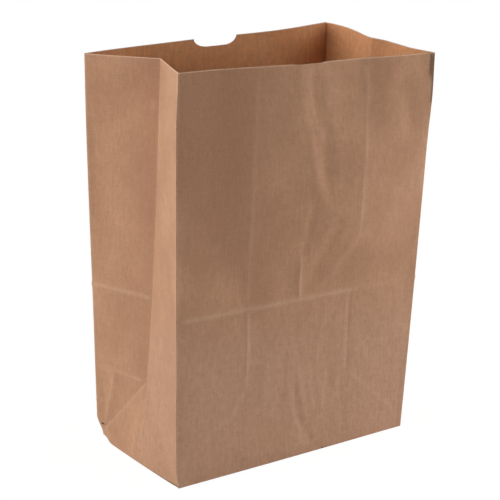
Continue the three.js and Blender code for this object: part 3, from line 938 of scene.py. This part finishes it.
# Worn folds and cut edges are paler where the grain lets them, and small marks and the painted
# shadow in the crushed corner are dark
RUBBED_GRAIN, RUBBED_SHARE, RUBBED_COLOUR = (0.25, 0.55), 0.55, (232, 196, 166)
MARK_AND_SHADOW_COLOUR = (44, 28, 20)

# Roughness, which varies with the streaks, and the bump of fibres and grain over a soft crinkle
ROUGH_SPREAD, ROUGH_LEAST = 0.12, 0.78
FIBRE_STRETCH, FIBRE_SCALE, FIBRE_DETAIL, FIBRE_ROUGHNESS = (1.0, 1.0, 0.10), 900.0, 3.0, 0.6
FIBRE_SHARE, GRAIN_SHARE, FIBRE_STRENGTH, FIBRE_DEPTH = 0.6, 0.4, 0.4, 0.0002
CRINKLE_SCALE, CRINKLE_STRENGTH, CRINKLE_DEPTH = 70.0, 0.3, 0.0010


def kraft_paper():
    """Unbleached kraft: clouds, painted light and shade, a brighter painted glow inside, fibres up
    the sheet, mottling, flecks, worn folds and small dark marks.
    """
    material = bpy.data.materials.new("kraft_paper")
    g = Graph(material)
    at = g.node("ShaderNodeTexCoord").outputs["Object"]
    clouds = g.ramp(g.noise(at, CLOUD_SCALE, CLOUD_DETAIL), *CLOUD_RANGE)
    colour = g.mix(clouds, srgb(*OUTER_COLOURS[0]), srgb(*OUTER_COLOURS[1]))
    # The attribute paints light and shade into the colour: paler low down, shade, and dark shadow
    # lines
    painted_shading = g.attribute("painted_shading")
    for start, full, share, shade in PAINTED_SHADING_COLOURS:
        colour = g.mix(g.ramp(painted_shading, start, full, share), colour, srgb(*shade))
    # The brighter, more orange inside colour is painted light: the glow through the thin paper and
    # its bounces inside the bag
    inner = g.mix(clouds, srgb(*INNER_GLOW_COLOURS[0]), srgb(*INNER_GLOW_COLOURS[1]))
    colour = g.mix(g.attribute("inside"), colour, inner)
    patterns = {}
    for name, (stretch, scale, detail, roughness, start, full, share, shade) in PATTERNS.items():
        pattern = g.noise(g.stretched(at, stretch), scale, detail, roughness)
        colour = g.mix(g.ramp(pattern, start, full, share), colour, srgb(*shade))
        patterns[name] = pattern
    grain = patterns["grain"]
    rubbed = g.math("MULTIPLY", g.attribute("wear"), g.ramp(grain, *RUBBED_GRAIN))
    colour = g.mix(g.math("MULTIPLY", rubbed, RUBBED_SHARE), colour, srgb(*RUBBED_COLOUR))
    # Small dark marks, and a painted shadow in the pocket of the crushed corner
    colour = g.mix(g.math("MINIMUM", marked_and_shaded(g, at), 1.0), colour, srgb(*MARK_AND_SHADOW_COLOUR))
    rough = g.math("MULTIPLY_ADD", patterns["streaks"], ROUGH_SPREAD, ROUGH_LEAST)
    drawn = g.stretched(at, FIBRE_STRETCH)
    fibres = g.noise(drawn, FIBRE_SCALE, FIBRE_DETAIL, FIBRE_ROUGHNESS)
    height = g.math(
        "ADD", g.math("MULTIPLY", fibres, FIBRE_SHARE), g.math("MULTIPLY", grain, GRAIN_SHARE)
    )
    crinkle = g.node("ShaderNodeBump", {
        "Height": g.noise(at, CRINKLE_SCALE),
        "Strength": CRINKLE_STRENGTH,
        "Distance": CRINKLE_DEPTH,
    })
    bump = g.node("ShaderNodeBump", {
        "Height": height,
        "Strength": FIBRE_STRENGTH,
        "Distance": FIBRE_DEPTH,
        "Normal": crinkle.outputs[0],
    })
    shader = g.node("ShaderNodeBsdfPrincipled", {
        "Base Color": colour,
        "Roughness": rough,
        "Normal": bump.outputs[0],
        "Specular IOR Level": 0.3,
        "Sheen Weight": 0.08,
        "Sheen Roughness": 0.5,
    })
    g.node("ShaderNodeOutputMaterial", {"Surface": shader.outputs[0]})
    return material


# The floor as the camera sees it: near the bag a share of it still shows the light, and so the
# bag's shadow, and further out it is plain white
WHITE = (1.0, 1.0, 1.0, 1.0)
FLOOR_WHITE = 0.80
NEAR_SHARE = 0.92
NEAR_GAIN = 1.05
NEAR_RADIUS, FAR_RADIUS = 0.40, 0.95
FLOOR_REACH = 3000.0


def sees_white(g):
    """1 for rays of the camera and of reflections, which see a plain white, and 0 for the rest."""
    path = g.node("ShaderNodeLightPath").outputs
    seen = g.math("MAXIMUM", path["Is Camera Ray"], path["Is Glossy Ray"])
    return g.math("MAXIMUM", seen, path["Is Transmission Ray"])


def white_floor():
    material = bpy.data.materials.new("white_floor")
    g = Graph(material)
    seen = sees_white(g)
    at = g.node("ShaderNodeTexCoord").outputs["Object"]
    away = g.node("ShaderNodeVectorMath", {0: at}, operation="LENGTH").outputs["Value"]
    far = g.ramp(away, NEAR_RADIUS, FAR_RADIUS)
    white_share = g.math("MULTIPLY_ADD", far, 1.0 - NEAR_SHARE, NEAR_SHARE)
    strength = g.math("MULTIPLY_ADD", far, 1.0 - NEAR_GAIN, NEAR_GAIN)
    matt = g.node("ShaderNodeBsdfDiffuse", {"Color": (FLOOR_WHITE, FLOOR_WHITE, FLOOR_WHITE, 1)})
    bright = g.node("ShaderNodeEmission", {"Color": WHITE, "Strength": strength})
    mixed = g.node("ShaderNodeMixShader", {
        0: g.math("MULTIPLY", seen, white_share), 1: matt.outputs[0], 2: bright.outputs[0],
    })
    g.node("ShaderNodeOutputMaterial", {"Surface": mixed.outputs[0]})
    return material


def stage_floor():
    signs = ((-1, -1), (1, -1), (1, 1), (-1, 1))
    corners = [(x * FLOOR_REACH, y * FLOOR_REACH, 0) for x, y in signs]
    floor = make_object("studio_floor", corners, [(0, 1, 2, 3)], smooth=False)
    floor.data.materials.append(white_floor())


# Soft lamps aimed at the bag, each with its place, power and size. They give all the light, and
# the world adds none.
WORLD_STRENGTH, BACKDROP_STRENGTH = 0.0, 1.0
LAMP_TARGET = (0.0, 0.0, 0.2)
LAMPS = {
    "back_light": ((-0.707, 1.943, 1.002), 12.0, 1.2),
    "left_light": ((-2.036, 0.359, 1.002), 30.5, 1.2),
    "front_light": ((0.707, -1.943, 1.002), 10.8, 1.2),
    "front_right_light": ((1.584, -1.329, 1.002), 5.6, 1.2),
    "right_light": ((2.036, -0.359, 1.002), 15.6, 1.2),
    "near_light": ((0.9, -0.3, 0.12), 4.2, 0.5),
}


def backdrop():
    """A plain white world for the camera and for reflections, which lights nothing."""
    world = bpy.data.worlds.new("studio")
    bpy.context.scene.world = world
    g = Graph(world)
    dark, white = (
        g.node("ShaderNodeBackground", {"Color": WHITE, "Strength": strength}).outputs[0]
        for strength in (WORLD_STRENGTH, BACKDROP_STRENGTH)
    )
    mixed = g.node("ShaderNodeMixShader", {0: sees_white(g), 1: dark, 2: white})
    g.node("ShaderNodeOutputWorld", {"Surface": mixed.outputs[0]})


def lamp(name, position, power, size):
    light = bpy.data.lights.new(name, "AREA")
    light.energy = power
    light.shape = "SQUARE"
    light.size = size
    obj = bpy.data.objects.new(name, light)
    aim = (Vector(LAMP_TARGET) - Vector(position)).to_track_quat("-Z", "Y")
    obj.matrix_world = Matrix.Translation(position) @ aim.to_matrix().to_4x4()
    obj.visible_camera = False
    bpy.context.scene.collection.objects.link(obj)


# The camera that the photograph was fitted with
CAMERA_AT = (-1.00607, -1.44483, 0.73499)
CAMERA_YAW, CAMERA_PITCH, CAMERA_ROLL = 34.870, -16.398, 0.044
FOCAL_PIXELS = 1647.29
FRAME_PIXELS = 500
SENSOR = 36.0


def add_camera():
    yaw, pitch, roll = (math.radians(a) for a in (CAMERA_YAW, CAMERA_PITCH, CAMERA_ROLL))
    forward = Vector((
        math.sin(yaw) * math.cos(pitch), math.cos(yaw) * math.cos(pitch), math.sin(pitch),
    ))
    right = Vector((math.cos(yaw), -math.sin(yaw), 0))
    up = right.cross(forward)
    right, up = (
        right * math.cos(roll) + up * math.sin(roll),
        up * math.cos(roll) - right * math.sin(roll),
    )
    turn = Matrix((right, up, -forward)).transposed().to_4x4()
    data = bpy.data.cameras.new("photo_camera")
    data.sensor_fit = "HORIZONTAL"
    data.sensor_width = SENSOR
    data.lens = FOCAL_PIXELS * SENSOR / FRAME_PIXELS
    camera = bpy.data.objects.new("photo_camera", data)
    camera.matrix_world = Matrix.Translation(CAMERA_AT) @ turn
    bpy.context.scene.collection.objects.link(camera)
    bpy.context.scene.camera = camera


def main():
    bpy.context.scene.view_settings.view_transform = "Standard"
    kraft = kraft_paper()
    bag = bag_sheet()
    flaps = [
        flap("front_flap", -1, 0.0, PAPER),
        flap("back_flap", 1, PAPER, 2 * PAPER),
    ]
    for piece in [bag] + flaps:
        piece.data.materials.append(kraft)
        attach(piece, "root")
    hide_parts(NODE)
    stage_floor()
    backdrop()
    for name, (position, power, size) in LAMPS.items():
        lamp(name, position, power, size)
    add_camera()


main()
